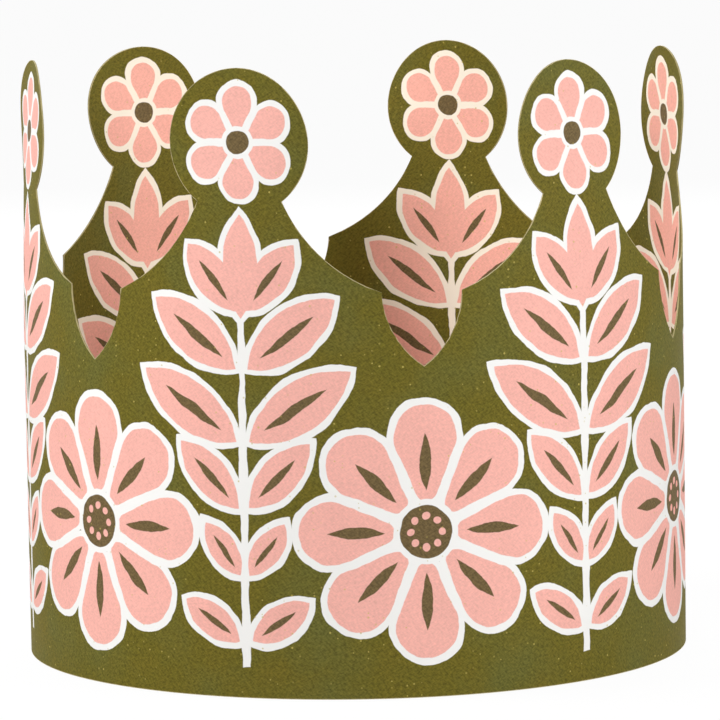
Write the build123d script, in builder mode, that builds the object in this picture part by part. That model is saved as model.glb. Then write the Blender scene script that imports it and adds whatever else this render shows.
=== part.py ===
"""Paper crown: one die-cut strip of card, rolled into a ring and glued with a lap at the back.

The origin is at the middle of the ring on its base edge, +Z is up, and the lap is at +Y.
Lengths along the strip are measured on the flat card.
"""

import os
from math import cos, degrees, pi, sin, sqrt

from build123d import *

# Driving sizes in millimetres
head_girth = 578.0  # round the inside of the closed ring
card = 0.4  # thickness of the card
lap = 15.0  # overlap of the strip's two ends
point_count = 6
height = 166.0  # base edge to the top of a ball
ball_radius = 19.4  # round head of a point
neck_width = 23.6  # between the two sharp corners under a ball
slope_hollow = 3.4  # depth of a slope's curve under its chord
shoulder_height = 107.2  # outer corner of a point
notch_width = 21.6  # between the shoulders of two points
notch_bow = 2.7  # how far a notch side bows out from its chord
valley_height = 87.7  # pointed bottom of a notch
cut_margin = 5.0  # how far a cut runs past the card

# The ring is two half turns of card, the right one drawn in by half a thickness,
# so that its end slides under the other end at the back
mean_radius = head_girth / (2 * pi) + card / 2
left_radius = mean_radius + card / 4
right_radius = mean_radius - card / 4
left_centre = (0, card / 4)
right_centre = (0, -card / 4)
lap_radius = left_radius - card
lap_angle = degrees(lap / lap_radius)

# Each cut starts a margin inside the chord between two neighbouring points or valleys
pitch_angle = 2 * pi / point_count
cut_start = mean_radius * cos(pitch_angle / 2) - cut_margin
cut_depth = mean_radius - cut_start + cut_margin


def facing_planes(first_angle):
    """Upright planes round the ring, one pitch apart, each facing outwards where its cut starts."""
    planes = []
    for step in range(point_count):
        outward = Vector(1, 0, 0).rotate(Axis.Z, degrees(first_angle + step * pitch_angle))
        sideways = outward.rotate(Axis.Z, 90)
        planes.append(Plane(origin=outward * cut_start, x_dir=sideways, z_dir=outward))
    return planes


def across(length):
    """Width seen square on of a length along the rolled card, from the middle of the view."""
    return mean_radius * sin(length / mean_radius)


def circle_of_arc(start, end, rise):
    """Centre and radius of the arc from start to end that rises to the left of its chord."""
    chord = end - start
    radius = chord.length**2 / (8 * rise) + rise / 2
    leftwards = chord.normalized().rotate(Axis.Z, 90)
    return (start + end) / 2 - leftwards * (radius - rise), radius


# Outline of a point, seen square on: a ball, a neck corner, a hollow slope and a shoulder
ball_height = height - ball_radius
neck_x = across(neck_width / 2)
neck = Vector(neck_x, ball_height - sqrt(ball_radius**2 - neck_x**2))
half_pitch = mean_radius * pitch_angle / 2
shoulder = Vector(across(half_pitch - notch_width / 2), shoulder_height)
slope_centre, slope_radius = circle_of_arc(shoulder, neck, slope_hollow)

# Outline of a notch, seen square on: a pointed arch upside down
notch_corner = Vector(across(notch_width / 2), shoulder_height)
notch_bottom = Vector(0, valley_height)
notch_centre, notch_radius = circle_of_arc(notch_corner, notch_bottom, notch_bow)

# The waste above the slopes reaches past the valley and halfway down the notch
waste_width = 2 * across(half_pitch) + notch_width / 2
waste_bottom = (shoulder_height + valley_height) / 2
waste_top = height + cut_margin

with BuildPart() as crown:
    # Strip rolled up: outside of the two half turns, then their inside with the lap's end
    with BuildSketch():
        with BuildLine():
            outer_left = CenterArc(left_centre, left_radius + card / 2, 90, 180)
            outer_right = CenterArc(right_centre, right_radius + card / 2, -90, 180)
            Line(outer_right @ 1, outer_left @ 0)
        make_face()
        with BuildLine():
            inner_left = CenterArc(left_centre, left_radius - card / 2, 90 + lap_angle, 180 - lap_angle)
            inner_right = CenterArc(right_centre, right_radius - card / 2, -90, 180)
            inner_lap = CenterArc(left_centre, lap_radius - card / 2, 90, lap_angle)
            Line(inner_lap @ 1, inner_left @ 0)
        make_face(mode=Mode.SUBTRACT)
    extrude(amount=height)

    # Waste beside each ball and above its slopes
    with BuildSketch(*facing_planes(0)):
        with Locations(slope_centre, (-slope_centre.X, slope_centre.Y)):
            Circle(slope_radius)
        with Locations((0, ball_height)):
            Rectangle(waste_width, waste_top - ball_height, align=(Align.CENTER, Align.MIN))
        with Locations((0, waste_bottom)):
            Rectangle(
                waste_width,
                waste_top - waste_bottom,
                align=(Align.CENTER, Align.MIN),
                mode=Mode.INTERSECT,
            )
        with Locations((0, ball_height)):
            Circle(ball_radius, mode=Mode.SUBTRACT)
    extrude(amount=cut_depth, mode=Mode.SUBTRACT)

    # Notch between two points, where two circles cross
    with BuildSketch(*facing_planes(pitch_angle / 2)):
        with Locations(notch_centre):
            Circle(notch_radius)
        with Locations((-notch_centre.X, notch_centre.Y)):
            Circle(notch_radius, mode=Mode.INTERSECT)
    extrude(amount=cut_depth, mode=Mode.SUBTRACT)

crown.part.label = "crown"

os.makedirs("parts", exist_ok=True)
export_step(crown.part, "parts/crown.step")
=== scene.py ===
from functools import reduce
from math import asin, atan2, cos, hypot, pi, radians, sin, sqrt

import bmesh
import bpy
import numpy as np
from mathutils import Matrix, Vector


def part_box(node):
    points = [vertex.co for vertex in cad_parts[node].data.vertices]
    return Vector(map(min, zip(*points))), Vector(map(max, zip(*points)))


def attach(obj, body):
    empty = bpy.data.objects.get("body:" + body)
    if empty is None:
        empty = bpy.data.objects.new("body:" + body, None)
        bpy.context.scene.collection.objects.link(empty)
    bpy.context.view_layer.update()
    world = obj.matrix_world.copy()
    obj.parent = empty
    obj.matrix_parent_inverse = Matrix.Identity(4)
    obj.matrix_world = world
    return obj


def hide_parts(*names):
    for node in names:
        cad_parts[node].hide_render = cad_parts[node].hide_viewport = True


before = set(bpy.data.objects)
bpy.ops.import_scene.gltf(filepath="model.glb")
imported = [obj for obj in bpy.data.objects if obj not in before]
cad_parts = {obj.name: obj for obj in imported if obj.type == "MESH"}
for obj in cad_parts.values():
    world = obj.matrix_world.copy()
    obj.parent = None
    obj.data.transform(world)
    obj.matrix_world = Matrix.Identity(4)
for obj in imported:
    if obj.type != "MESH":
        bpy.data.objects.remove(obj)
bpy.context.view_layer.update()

MM = 0.001

# Sizes of the cut card
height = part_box("crown")[1].z / MM
card = 0.4
lap = 15.0
point_count = 6
mean_radius = 92.19
ball_radius = 19.4
ball_tip_width = 0.8
neck_width = 23.6
slope_hollow = 3.4
shoulder_height = 107.2
notch_width = 21.6
notch_bow = 2.7
valley_height = 87.7

# Glue between the layers of the lap, and the last part of the turn over which the card draws in by it
glue = 0.02
glue_turn = pi / 10

# How the top of each free point has sprung out of the round, counted from the lap on: its lean, outwards
# positive, and its twist about its own middle line. Free card also flattens towards the top
point_leans = np.array((0.6, -3.2, 0.0, -5.8, -2.3, -2.5))
point_twists = np.radians((10.5, -2.4, 4.4, -3.1, -3.8, 11.7))
flattening = 1.5
lean_curve = 1.6
twist_curve = 2.0
flat_curve = 3.0

girth = 2 * pi * mean_radius
pitch = girth / point_count
ball_height = height - ball_radius


def across(length):
    """Width seen square on of a length along the rolled card: radius times the sine of its angle."""
    return mean_radius * sin(length / mean_radius)


def arc_circle(start, end, rise):
    """Centre and radius of the arc from start to end that rises to the left of its chord.

    The radius is chord squared over 8 rises, plus half a rise.
    """
    chord = (end[0] - start[0], end[1] - start[1])
    length = hypot(*chord)
    radius = length**2 / (8 * rise) + rise / 2
    inset = (radius - rise) / length
    middle = ((start[0] + end[0]) / 2, (start[1] + end[1]) / 2)
    return (middle[0] + chord[1] * inset, middle[1] - chord[0] * inset), radius


neck_x = across(neck_width / 2)
neck_height = ball_height - sqrt(ball_radius**2 - neck_x**2)
neck = (neck_x, neck_height)
shoulder = (across(pitch / 2 - notch_width / 2), shoulder_height)
slope_centre, slope_radius = arc_circle(shoulder, neck, slope_hollow)
notch_corner = (across(notch_width / 2), shoulder_height)
notch_centre, notch_radius = arc_circle(notch_corner, (0, valley_height), notch_bow)


def half_chord(radius, away):
    """Half a circle's chord, away from its centre: the root of radius squared less away squared."""
    return np.sqrt(np.maximum(radius**2 - away**2, 0))


def half_width(up):
    """Half the width of a point along the card, at each height.

    Under the valley it is half a pitch. Above it the card ends at the notch's arc, then at the slope's
    arc, then at the ball's circle, each a circle seen square on and unrolled by the arc sine.
    """
    notch = notch_centre[0] + half_chord(notch_radius, up - notch_centre[1])
    slope = slope_centre[0] - half_chord(slope_radius, up - slope_centre[1])
    ball = half_chord(ball_radius, up - ball_height)
    beside_notch = pitch / 2 - mean_radius * np.arcsin(np.clip(notch / mean_radius, -1, 1))
    beside_slope = mean_radius * np.arcsin(np.clip(slope / mean_radius, -1, 1))
    beside_ball = mean_radius * np.arcsin(ball / mean_radius)
    width = np.where(up > valley_height, beside_notch, pitch / 2)
    width = np.where(up > shoulder_height, beside_slope, width)
    return np.where(up > neck_height, beside_ball, width)


def lap_top(along):
    """Height of the lap's upper edge, which follows the notch's arc and then the slope's arc."""
    from_valley = mean_radius * np.sin(along / mean_radius)
    from_point = mean_radius * np.sin((pitch / 2 - along) / mean_radius)
    notch = notch_centre[1] - half_chord(notch_radius, from_valley - notch_centre[0])
    slope = slope_centre[1] - half_chord(slope_radius, from_point - slope_centre[0])
    return np.where(along < notch_width / 2, notch, slope)


def rolled(along, up, depth):
    """Place of each point of the card, in metres.

    along is the distance on the card from its outer end at the back, up the height, and depth the
    distance out from the card's middle. The card turns once round: the first half turn is a quarter
    thickness wider than the mean circle and the second a quarter narrower, about centres a quarter
    either side of the middle, so the far end slides under the near one with the glue between them.
    Above the valleys each point moves along the outward line through its middle, by the sum of its lean,
    its twist times the distance aside from its middle, and, because free card flattens, a share of the
    circle's fall away from its tangent, aside squared over 2 radii, each times a power of the rise.
    """
    turn = along / mean_radius
    panel = np.floor(along / pitch).astype(int)
    middle = (panel + 0.5) * pitch
    aside = along - middle
    rise = np.clip((up - valley_height) / (height - valley_height), 0, 1)
    lean = point_leans[panel % point_count] * rise**lean_curve
    twist = point_twists[panel % point_count] * rise**twist_curve * aside
    flat = flattening * rise**flat_curve * aside**2 / (2 * mean_radius)
    sprung = lean + twist + flat
    facing = middle / mean_radius
    first = turn < pi
    under = turn > 2 * pi
    radius = np.where(first, mean_radius + card / 4, mean_radius - card / 4)
    radius = np.where(under, mean_radius - 3 * card / 4, radius)
    radius = radius + depth - glue * np.clip((turn - 2 * pi) / glue_turn + 1, 0, 1)
    centre = np.where(first | under, card / 4, -card / 4)
    x = -radius * np.sin(turn) - sprung * np.sin(facing)
    y = centre + radius * np.cos(turn) + sprung * np.cos(facing)
    return np.stack((x, y, up), axis=-1) * MM


# The bake map is a square page, in millimetres of card: three rows of four panels, with the middle row
# upside down and half a pitch along, so that its balls come between the points of the row under it
page = 446.0
page_gap = 2.0
page_columns = 4
page_pair = 272.0  # height of two such rows
page_step = pitch + page_gap
page_rows = (page_gap, page_pair + page_gap, page_pair + 2 * page_gap)
page_starts = (page_gap, page_gap + page_step / 2, page_gap)

# Bars of the cut edges, in the corner of the page that no panel takes
bar_width = 44.0
bar_height = 1.4
bar_step = 3.0
bar_margin = 4.0
bar_top = page_rows[1] - bar_margin


def panel_page(slot, offset, up):
    """Place on the page of a panel's points, from the panel's middle and its height."""
    row, column = divmod(slot, page_columns)
    middle = page_starts[row] + pitch / 2 + column * page_step
    if row == 1:
        return (middle - offset) / page, (page_rows[row] - up) / page
    return (middle + offset) / page, (page_rows[row] + up) / page


def bar_page(bar, run, over):
    """Place on the page of a cut edge's points: run along the bar and over from face to face, 0 to 1."""
    top = bar_top - bar * bar_step
    return (page_gap + run * bar_width) / page, (top - over * bar_height) / page


# Rows and columns of the mesh: how many points each part of a panel has, and where they are
band_count = 33
notch_count = 15
slope_count = 15
ball_count = 44
column_count = 41
lap_count = 19
outline_count = 289
band_rows = np.linspace(0, valley_height, band_count)
notch_rows = np.linspace(valley_height, shoulder_height, notch_count)[1:]
slope_rows = np.linspace(shoulder_height, neck_height, slope_count)[1:]
neck_angle = atan2(neck_x, neck_height - ball_height)
tip_angle = asin(ball_tip_width / 2 / ball_radius)
ball_angles = np.linspace(neck_angle, tip_angle, ball_count)[1:]
ball_rows = ball_height + ball_radius * np.cos(ball_angles)
panel_rows = np.concatenate((band_rows, notch_rows, slope_rows, ball_rows))
cut_rows = panel_rows[band_count - 1 :]
panel_columns = np.linspace(-1, 1, column_count)
lap_columns = np.linspace(0, lap, lap_count)

# Points closer than the weld are joined, and edges that turn more than the sharp angle stay sharp
weld = 0.002
sharp_angle = radians(40)

# Sides of the card, as the material reads them, and the depths of its two faces
outer_side = 0.0
inner_side = 1.0
cut_side = 2.0
skin = card / 2
skins = (skin, -skin)


class Sheets:
    """Grids of card gathered for one mesh.

    Each point has its place, its spots on the flat strip and on the bake page, and its distance from the
    nearest cut. Each face has its side of the card.
    """

    def __init__(self):
        self.places = []
        self.flats = []
        self.bakes = []
        self.nears = []
        self.sides = []
        self.faces = []
        self.count = 0
        self.bars = 0

    def add(self, along, up, depth, bake, near, side):
        """Adds a grid. Its faces look to the side where columns run right and rows run up."""
        along, up, depth, near = np.broadcast_arrays(along, up, depth, near)
        rows, columns = along.shape
        number = np.arange(rows * columns).reshape(rows, columns) + self.count
        corners = (number[:-1, :-1], number[:-1, 1:], number[1:, 1:], number[1:, :-1])
        self.faces.append(np.stack(corners, axis=-1).reshape(-1, 4))
        self.places.append(rolled(along, up, depth).reshape(-1, 3))
        self.flats.append(np.stack((along, up), axis=-1).reshape(-1, 2))
        self.bakes.append(np.stack(np.broadcast_arrays(*bake), axis=-1).reshape(-1, 2))
        self.nears.append(near.ravel())
        self.sides.append(np.full((rows - 1) * (columns - 1), side))
        self.count += rows * columns

    def add_edge(self, along, up, run, turned, level):
        """Adds a cut edge from one face of the card to the other, and takes the next bar of the page.

        A level edge follows the columns of its grid and an upright one its rows.
        """
        length_wise = (1, -1) if level else (-1, 1)
        over_wise = length_wise[::-1]
        along, up, run = (np.reshape(values, length_wise) for values in (along, up, run))
        bake = bar_page(self.bars, run, np.reshape((0, 1), over_wise))
        self.add(along, up, turned * np.reshape(skins, over_wise), bake, 0.0, cut_side)
        self.bars += 1


def from_cut(offset, up):
    """Distance on the card from the nearest cut: the least of the distances to points of the outline."""
    share = np.linspace(0, 1, outline_count)
    line_up = np.interp(share, np.linspace(0, 1, len(cut_rows)), cut_rows)
    line_offset = half_width(line_up)
    beside = np.hypot(np.abs(offset)[..., None] - line_offset, up[..., None] - line_up).min(axis=-1)
    return np.minimum(beside, up)


def add_panels(sheets):
    """Adds six panels: both faces, then the cut edges beside, over and under them.

    A grid's columns are shares of the half width at each height.
    """
    up = panel_rows[:, None]
    offset = half_width(panel_rows)[:, None] * panel_columns
    near_cut = from_cut(offset, up)
    side_offset = half_width(cut_rows)
    side_run = np.linspace(0, 1, len(cut_rows))
    level_run = (panel_columns + 1) / 2
    for panel in range(point_count):
        middle = (panel + 0.5) * pitch
        near = np.minimum(near_cut, middle + offset)
        sheets.add(middle + offset, up, skin, panel_page(panel, offset, up), near, outer_side)
        inner = offset[:, ::-1]
        inner_page = panel_page(point_count + panel, -inner, up)
        sheets.add(middle + inner, up, -skin, inner_page, near[:, ::-1], inner_side)
        for side in (1, -1):
            sheets.add_edge(middle + side * side_offset, cut_rows, side_run, side, level=False)
        for row, turned in ((-1, 1), (0, -1)):
            sheets.add_edge(middle + offset[row], panel_rows[row], level_run, turned, level=True)


def add_lap(sheets):
    """Adds the lap, which carries on from the last panel, its cut edges, and the strip's outer end.

    A grid's rows are shares of the lap's height at each column.
    """
    share = band_rows / valley_height
    up = share[:, None] * lap_top(lap_columns)
    along = girth + lap_columns
    near = np.minimum(np.minimum(up, up[-1] - up), lap - lap_columns)
    outer_left = page_starts[2] + page_columns * page_step
    inner_left = outer_left + lap + page_gap
    for face, left, side in ((1, outer_left, outer_side), (-1, inner_left, inner_side)):
        order = slice(None, None, face)
        bake = ((left + lap_columns[order]) / page, (page_rows[2] + up[:, order]) / page)
        sheets.add(along[order], up[:, order], face * skin, bake, near[:, order], side)
    for row, turned in ((-1, 1), (0, -1)):
        sheets.add_edge(along, up[row], lap_columns / lap, turned, level=True)
    for end, rise, turned in ((girth + lap, up[:, -1], 1), (0.0, band_rows, -1)):
        sheets.add_edge(end, rise, share, turned, level=False)


def card_mesh():
    """The whole card as one closed mesh. Neighbouring grids share their border points."""
    sheets = Sheets()
    add_panels(sheets)
    add_lap(sheets)
    faces = np.concatenate(sheets.faces)
    mesh = bpy.data.meshes.new("printed_crown")
    mesh.from_pydata(np.concatenate(sheets.places), [], faces)
    for name, spots in (("Strip", sheets.flats), ("OFBake", sheets.bakes)):
        layer = mesh.uv_layers.new(name=name)
        spots = np.concatenate(spots)[faces.ravel()]
        layer.uv.foreach_set("vector", spots.ravel().astype(np.float32))
    readings = (("from_cut", "POINT", sheets.nears), ("card_side", "FACE", sheets.sides))
    for name, domain, values in readings:
        attribute = mesh.attributes.new(name, "FLOAT", domain)
        attribute.data.foreach_set("value", np.concatenate(values).astype(np.float32))
    merged = bmesh.new()
    merged.from_mesh(mesh)
    bmesh.ops.remove_doubles(merged, verts=merged.verts, dist=weld * MM)
    merged.to_mesh(mesh)
    merged.free()
    mesh.shade_smooth()
    mesh.set_sharp_from_angle(angle=sharp_angle)
    return mesh


class Wire:
    """One socket of a material's nodes. Arithmetic between wires and numbers adds Math nodes."""

    def __init__(self, tree, socket=None):
        self.tree = tree
        self.socket = socket

    def node(self, kind, settings, sockets, output=0):
        """Adds a node, sets its properties and then its sockets, and gives one of its outputs."""
        made = self.tree.nodes.new(kind)
        for name, value in settings.items():
            setattr(made, name, value)
        for name, value in sockets.items():
            if isinstance(value, Wire):
                self.tree.links.new(value.socket, made.inputs[name])
            else:
                made.inputs[name].default_value = value
        return Wire(self.tree, made.outputs[output] if len(made.outputs) else None)

    def beside(self, output):
        """Another output of the same node."""
        return Wire(self.tree, self.socket.node.outputs[output])

    def math(self, operation, *others):
        """This wire and others through a Math node."""
        return self.node("ShaderNodeMath", {"operation": operation}, dict(enumerate((self, *others))))

    def __add__(self, other):
        return self.math("ADD", other)

    __radd__ = __add__

    def __sub__(self, other):
        return self.math("SUBTRACT", other)

    def __rsub__(self, other):
        return self.node("ShaderNodeMath", {"operation": "SUBTRACT"}, {0: other, 1: self})

    def __mul__(self, other):
        return self.math("MULTIPLY", other)

    __rmul__ = __mul__

    def __lt__(self, other):
        return self.math("LESS_THAN", other)

    def __gt__(self, other):
        return self.math("GREATER_THAN", other)

    def __abs__(self):
        return self.math("ABSOLUTE")


def fresh_nodes(owner):
    """Empties the nodes of a material or a world, and gives a wire to start from."""
    owner.use_nodes = True
    owner.node_tree.nodes.clear()
    return Wire(owner.node_tree)


def far(x, y):
    """Distance from the origin."""
    return (x * x + y * y).math("SQRT")


def least(*distances):
    """The nearest of several outlines."""
    return reduce(lambda one, other: one.math("MINIMUM", other), distances)


def within(distance, softness):
    """1 inside an outline and 0 outside it, with a soft step across the line."""
    settings = {"operation": "MULTIPLY_ADD", "use_clamp": True}
    return distance.node("ShaderNodeMath", settings, {0: distance, 1: -1 / softness, 2: 0.5})


def inked(under, ink, mask, blend="MIX"):
    """One ink laid over another where the mask is 1.

    A Mix node has its colours at inputs 6 and 7 and at output 2.
    """
    settings = {"data_type": "RGBA", "blend_type": blend, "clamp_factor": True}
    return mask.node("ShaderNodeMix", settings, {0: mask, 6: under, 7: ink}, 2)


def tinted(colour, tint, mask):
    """A colour multiplied by a tint where the mask is 1."""
    return inked(colour, tint, mask, "MULTIPLY")


def lens(aside, along, length, width):
    """Distance from a pointed oval of two equal arcs, with its root at the origin and its tip at length.

    Each arc's radius is a quarter of length squared plus width squared, over 2 widths.
    """
    radius = (length**2 / 4 + width**2) / (2 * width)
    return far(abs(aside) + (radius - width), along - length / 2) - radius


def club(aside, along, root, tip, length):
    """Distance from a petal: two discs of root and tip radius, length apart, and the sides between them.

    A side touches both discs, so it slants by the difference of their radii over the length.
    """
    slant = (root - tip) / length
    upright = sqrt(1 - slant**2)
    side = abs(aside)
    level = along * upright - side * slant
    flank = side * upright + along * slant - root
    foot = far(side, along) - root
    head = far(side, along - length) - tip
    return flank + (level < 0) * (foot - flank) + (level > upright * length) * (head - flank)


def folded(x, y, count):
    """Coordinates beside and along the nearest of count spokes round the origin."""
    reach = far(x, y)
    angle = x.math("ARCTAN2", y).math("WRAP", pi / count, -pi / count)
    return reach * angle.math("SINE"), reach * angle.math("COSINE")


# Inks and card, in linear light
olive = (0.126, 0.111, 0.013, 1)
olive_warm = (0.143, 0.111, 0.013, 1)
olive_grey = (0.117, 0.116, 0.025, 1)
pink = (0.870, 0.440, 0.375)
brown = (0.145, 0.100, 0.042)
bare = (0.870, 0.862, 0.838, 1)
fleck_gold = (0.560, 0.450, 0.110, 1)
cut_cream = (0.720, 0.620, 0.370, 1)
worn_cream = (0.660, 0.550, 0.310, 1)
# Painted light: this warm tint multiplies the inner face's bare card fully and its pink partly. It
# stands in for warm light bounced between the inner walls.
painted_bounce_tint = (1.080, 1.000, 0.860, 1)
painted_bounce_pink_share = 0.4  # share of that painted bounce tint in the pink
ink_softness = 0.16

# Grain of the stock: direction and scale of its fibres, and how much it shows in each ink
fibre_lays = ((radians(28), 2.4), (radians(-47), 2.0))
fibre_detail = 2.0
fibre_stretch = 0.4
ground_grain = 0.9
pink_grain = 0.25
brown_grain = 0.8

# Noises of the print, each with its scale and detail, and how much they do
mottle_noise = (0.11, 3.0)
mottle_depth = 0.1
patch_noise = (0.04, 3.0)
patch_start = 0.45
patch_strength = 2.5
waver_noise = (0.16, 4.0)
rosette_waver = 1.1
sprig_waver = 1.0
line_noise = (0.09, 1.0)
line_drift = 1.4

# Flecks in the stock: least value and range of their size and strength
fleck_scale = 0.5
fleck_noise = (0.05, 2.0)
fleck_spread = 0.5
fleck_rarity = 0.92
fleck_size = (0.07, 0.07)
fleck_strength = (0.2, 0.5)
fleck_softness = 0.06

# Wear along the cut, and the share of olive soaked into the cut edge
worn_noise = (0.5, 2.0)
worn_width = 0.16
worn_softness = 0.12
worn_strength = 0.65
soak_noise = (0.25, 2.0)
soak_share = (0.38, 0.5)

# Tooth of the uncoated face, its depth in metres
tooth_noise = (1.3, 6.0)
tooth_strength = 0.25
tooth_depth = 0.00006
roughness = 0.68
roughness_range = 0.2
specular = 0.12

# Rosette under each valley. A petal's root and tip are given by distance from the middle and radius
rosette_height = 44.0
rosette_petals = 8
rosette_heart = 7.0
rosette_ring = 1.6
rosette_line = 1.9
petal_root = (11.0, 2.8)
petal_tip = (25.2, 8.4)
vein_root = 11.0
vein_length = 15.0
vein_width = 1.5
seed_ring = 4.2
seed_radius = 1.0

# Sprig under each point: height of the leaf's root on the stem, lean, length and half width
sprig_leaves = (
    (14.0, 56, 19.0, 4.4),
    (31.0, 36, 17.0, 3.8),
    (49.0, 44, 24.0, 5.0),
    (67.0, 56, 33.0, 6.6),
    (86.0, 52, 30.0, 6.2),
    (101.0, 38, 22.0, 5.0),
)
leaf_gap = 2.0  # from the stem's middle to a leaf
rib_start = 0.16  # share of the leaf's length
rib_length = 0.6
rib_width = 0.2
bud_root = 100.6
bud_length = 27.4
bud_width = 4.8
stem_foot = 8.0
stem_width = 1.1
sprig_line = 1.6

# Small rosette in each ball
ball_petals = 6
ball_petal_root = (5.0, 1.5)
ball_petal_tip = (10.4, 4.3)
ball_heart = 3.2
ball_ring = 1.2
ball_line = 1.5


def rosette(x, y):
    """Distances from the rosette's petals, veins, heart and seeds, from its middle."""
    aside, out = folded(x, y, rosette_petals)
    reach = petal_tip[0] - petal_root[0]
    petals = club(aside, out - petal_root[0], petal_root[1], petal_tip[1], reach)
    veins = lens(aside, out - vein_root, vein_length, vein_width)
    heart = far(x, y) - rosette_heart
    seeds = far(aside, out - seed_ring) - seed_radius
    return petals, veins, heart, seeds


def sprig(x, y):
    """Distances from the sprig's leaves, ribs and stem, from its middle line and the base edge."""
    side = abs(x)
    leaves = []
    ribs = []
    for root, lean, length, width in sprig_leaves:
        turn = radians(lean)
        rise = y - root
        leaf_along = side * sin(turn) + rise * cos(turn) - leaf_gap
        leaf_aside = side * cos(turn) - rise * sin(turn)
        leaves.append(lens(leaf_aside, leaf_along, length, width))
        rib_along = leaf_along - rib_start * length
        ribs.append(lens(leaf_aside, rib_along, rib_length * length, rib_width * width))
    leaves.append(lens(x, y - bud_root, bud_length, bud_width))
    stem = (side - stem_width).math("MAXIMUM", stem_foot - y).math("MAXIMUM", y - bud_root)
    return least(*leaves), least(*ribs), stem


def ball_rosette(x, y):
    """Distances from the small rosette's petals and heart, from its middle."""
    aside, out = folded(x, y, ball_petals)
    reach = ball_petal_tip[0] - ball_petal_root[0]
    petals = club(aside, out - ball_petal_root[0], ball_petal_root[1], ball_petal_tip[1], reach)
    return petals, far(x, y) - ball_heart


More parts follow.
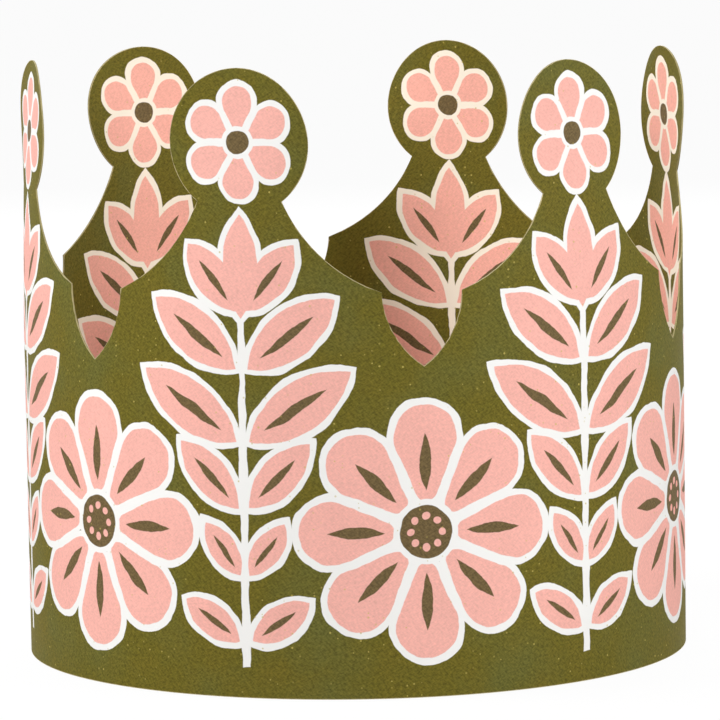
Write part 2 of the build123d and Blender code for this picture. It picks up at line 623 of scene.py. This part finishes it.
def printed_card():
    """Card printed in olive, pink and brown, with bare card left as a line round each shape."""
    material = bpy.data.materials.new("printed_card")
    start = fresh_nodes(material)
    flat = start.node("ShaderNodeUVMap", {"uv_map": "Strip"}, {})
    along = start.node("ShaderNodeSeparateXYZ", {}, {0: flat})
    up = along.beside(1)
    card_side = start.node("ShaderNodeAttribute", {"attribute_name": "card_side"}, {}, 2)
    near_cut = start.node("ShaderNodeAttribute", {"attribute_name": "from_cut"}, {}, 2)

    def noise(kind, at=flat, output=0):
        """Noise about 0.5, of a scale and detail."""
        sockets = {"Vector": at, "Scale": kind[0], "Detail": kind[1]}
        return start.node("ShaderNodeTexNoise", {"noise_dimensions": "2D"}, sockets, output)

    def fibres(turn, scale):
        """Noise drawn out in one direction on the card, as pressed fibres lie."""
        run = along * cos(turn) + up * sin(turn)
        over = up * cos(turn) - along * sin(turn)
        at = start.node("ShaderNodeCombineXYZ", {}, {0: run * fibre_stretch, 1: over})
        return noise((scale, fibre_detail), at) - 0.5

    def wavered(x, y, much):
        """Coordinates moved a little by noise, as a hand-cut line wavers."""
        at = start.node("ShaderNodeCombineXYZ", {}, {0: x, 1: y})
        drift = start.node("ShaderNodeSeparateColor", {}, {0: noise(waver_noise, at, 1)})
        return x + (drift - 0.5) * much, y + (drift.beside(1) - 0.5) * much

    # Shapes, placed from the nearest valley and from the nearest point
    from_valley = along.math("WRAP", pitch / 2, -pitch / 2)
    from_point = (along - pitch / 2).math("WRAP", pitch / 2, -pitch / 2)
    petals, veins, heart, seeds = rosette(*wavered(from_valley, up - rosette_height, rosette_waver))
    x, y = wavered(from_point, up, sprig_waver)
    leaves, ribs, stem = sprig(x, y)
    ball_petal, ball_middle = ball_rosette(x, y - ball_height)

    # Inks, with the grain of the stock, which shows most in the dark ground
    mottle = noise(mottle_noise)
    grain = sum(fibres(turn, scale) for turn, scale in fibre_lays)

    def grained(ink, much):
        """An ink made lighter and darker by the grain and a little by the mottle."""
        shade = 1 + grain * much + (mottle - 0.5) * mottle_depth
        sockets = {"Vector": ink, "Scale": shade}
        return start.node("ShaderNodeVectorMath", {"operation": "SCALE"}, sockets)

    patches = (noise(patch_noise) - patch_start) * patch_strength
    ground = grained(inked(inked(olive, olive_warm, mottle), olive_grey, patches), ground_grain)
    # On the inner face the pink and the bare card get painted light: a warm tint that stands in for
    # light bounced inside the crown
    pink_with_painted_bounce = tinted(grained(pink, pink_grain), painted_bounce_tint, card_side * painted_bounce_pink_share)
    deep_brown = grained(brown, brown_grain)
    bare_card_with_painted_bounce = tinted(bare, painted_bounce_tint, card_side)

    # Ink over ink, from the ground up
    lines = least(
        petals - rosette_line,
        heart - rosette_line,
        leaves - sprig_line,
        stem,
        ball_petal - ball_line,
        ball_middle - ball_line,
    )
    lines = lines + (noise(line_noise) - 0.5) * line_drift
    rings = least(heart - rosette_ring, ball_middle - ball_ring)
    colour = inked(ground, bare_card_with_painted_bounce, within(lines, ink_softness))
    colour = inked(colour, pink_with_painted_bounce, within(least(petals, leaves, ball_petal), ink_softness))
    colour = inked(colour, bare_card_with_painted_bounce, within(rings, ink_softness))
    colour = inked(colour, deep_brown, within(least(heart, ribs, veins, ball_middle), ink_softness))
    colour = inked(colour, pink_with_painted_bounce, within(seeds, ink_softness))

    # Flecks, thicker in some places than in others
    cells = {"voronoi_dimensions": "2D", "feature": "F1"}
    speck = start.node("ShaderNodeTexVoronoi", cells, {"Vector": flat, "Scale": fleck_scale})
    chance = start.node("ShaderNodeSeparateColor", {}, {0: speck.beside(1)})
    picked = (chance + (noise(fleck_noise) - 0.5) * fleck_spread) > fleck_rarity
    size = fleck_size[0] + chance.beside(1) * fleck_size[1]
    strength = fleck_strength[0] + chance.beside(2) * fleck_strength[1]
    colour = inked(colour, fleck_gold, within(speck - size, fleck_softness) * picked * strength)

    # The cut wears the ink off along its line, and its edge is bare card with some ink soaked in
    worn_edge = near_cut - worn_width - (noise(worn_noise) - 0.5) * worn_width
    colour = inked(colour, worn_cream, within(worn_edge, worn_softness) * worn_strength)
    soaked = soak_share[0] + noise(soak_noise) * soak_share[1]
    colour = inked(colour, inked(cut_cream, olive, soaked), card_side - 1)

    tooth = noise(tooth_noise)
    sockets = {"Strength": tooth_strength, "Distance": tooth_depth, "Height": tooth}
    sockets = {
        "Base Color": colour,
        "Roughness": roughness + (tooth - 0.5) * roughness_range,
        "Normal": start.node("ShaderNodeBump", {}, sockets),
        "Specular IOR Level": specular,
    }
    shader = start.node("ShaderNodeBsdfPrincipled", {}, sockets)
    start.node("ShaderNodeOutputMaterial", {}, {"Surface": shader})
    return material


def placed(name, data):
    """A new object of this data, in the scene."""
    made = bpy.data.objects.new(name, data)
    bpy.context.collection.objects.link(made)
    return made


crown = placed("printed_crown", card_mesh())
crown.data.materials.append(printed_card())
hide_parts("crown")
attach(crown, "root")

# Floor, wide enough to fill the view. It throws grey light on the crown and shows as almost white
floor_reach = 12.0
floor_drop = 0.0002
floor_grey = (0.3, 0.3, 0.3, 1)
floor_pale = (0.95, 0.95, 0.95, 1)
glow_share = 0.96
plain_white = (1, 1, 1, 1)
corners = ((-1, -1), (1, -1), (1, 1), (-1, 1))
floor_places = [(x * floor_reach, y * floor_reach, -floor_drop) for x, y in corners]
floor_mesh = bpy.data.meshes.new("floor")
floor_mesh.from_pydata(floor_places, [], [(0, 1, 2, 3)])
floor = placed("floor", floor_mesh)


def seen_ray(start):
    """1 for rays that show the backdrop: from the camera, in a gloss or through a clear piece."""
    camera_ray = start.node("ShaderNodeLightPath", {}, {}, "Is Camera Ray")
    glossy_ray = camera_ray.beside("Is Glossy Ray")
    clear_ray = camera_ray.beside("Is Transmission Ray")
    return camera_ray.math("MAXIMUM", glossy_ray).math("MAXIMUM", clear_ray)


floor_white = bpy.data.materials.new("floor_white")
start = fresh_nodes(floor_white)
grey_paint = start.node("ShaderNodeBsdfDiffuse", {}, {"Color": floor_grey})
pale_paint = start.node("ShaderNodeBsdfDiffuse", {}, {"Color": floor_pale})
glow = start.node("ShaderNodeEmission", {}, {"Color": plain_white, "Strength": 1.0})
seen_floor = start.node("ShaderNodeMixShader", {}, {0: glow_share, 1: pale_paint, 2: glow})
blend = start.node("ShaderNodeMixShader", {}, {0: seen_ray(start), 1: grey_paint, 2: seen_floor})
start.node("ShaderNodeOutputMaterial", {}, {"Surface": blend})
floor_mesh.materials.append(floor_white)

# Soft light all round, and white where the world itself is seen
ambient_strength = 0.08
world = bpy.data.worlds.new("studio")
start = fresh_nodes(world)
ambient = start.node("ShaderNodeBackground", {}, {"Color": plain_white, "Strength": ambient_strength})
backdrop = start.node("ShaderNodeBackground", {}, {"Color": plain_white, "Strength": 1.0})
blend = start.node("ShaderNodeMixShader", {}, {0: seen_ray(start), 1: ambient, 2: backdrop})
start.node("ShaderNodeOutputWorld", {}, {"Surface": blend})
bpy.context.scene.world = world

# Camera where the photograph was taken from
view_turn = radians(-11.32)
view_rise = radians(6.03)
view_roll = radians(0.88)
view_distance = 1.265
view_lens = 225.0
view_middle = Vector((0, 0, 0.083))
view_nudge = (0.00155, -0.00326)

# Square lamps: turn from the camera and rise in degrees, distance and size in metres, watts
lamps = (
    ("left_lamp", -84, 40, 1.4, 0.6, 16.3),
    ("right_lamp", 73, 20, 1.6, 0.6, 17.2),
    ("front_lamp", -10, 14, 1.6, 0.3, 14.0),
    ("back_lamp", 180, 30, 1.6, 1.2, 20.0),
)


def around(turn, rise):
    """Unit vector from the crown towards a stand at this turn from the front and this rise."""
    return Vector((sin(turn) * cos(rise), -cos(turn) * cos(rise), sin(rise)))


def looking(place, target, roll):
    """Matrix of a camera or lamp at place that looks at target, turned by roll about its own axis."""
    turned = (target - place).to_track_quat("-Z", "Y").to_matrix().to_4x4()
    return Matrix.Translation(place) @ turned @ Matrix.Rotation(roll, 4, "Z")


camera_data = bpy.data.cameras.new("camera")
camera_data.lens = view_lens
camera = placed("camera", camera_data)
view_place = view_middle + view_distance * around(view_turn, view_rise)
level = looking(view_place, view_middle, -view_roll).to_3x3()
view_target = view_middle + level @ Vector((*view_nudge, 0))
camera.matrix_world = looking(view_place, view_target, -view_roll)
bpy.context.scene.camera = camera

for name, turn, rise, distance, size, watts in lamps:
    lamp_data = bpy.data.lights.new(name, "AREA")
    lamp_data.shape = "SQUARE"
    lamp_data.size = size
    lamp_data.energy = watts
    lamp_place = view_middle + distance * around(view_turn + radians(turn), radians(rise))
    placed(name, lamp_data).matrix_world = looking(lamp_place, view_middle, 0)

bpy.context.scene.view_settings.view_transform = "Standard"
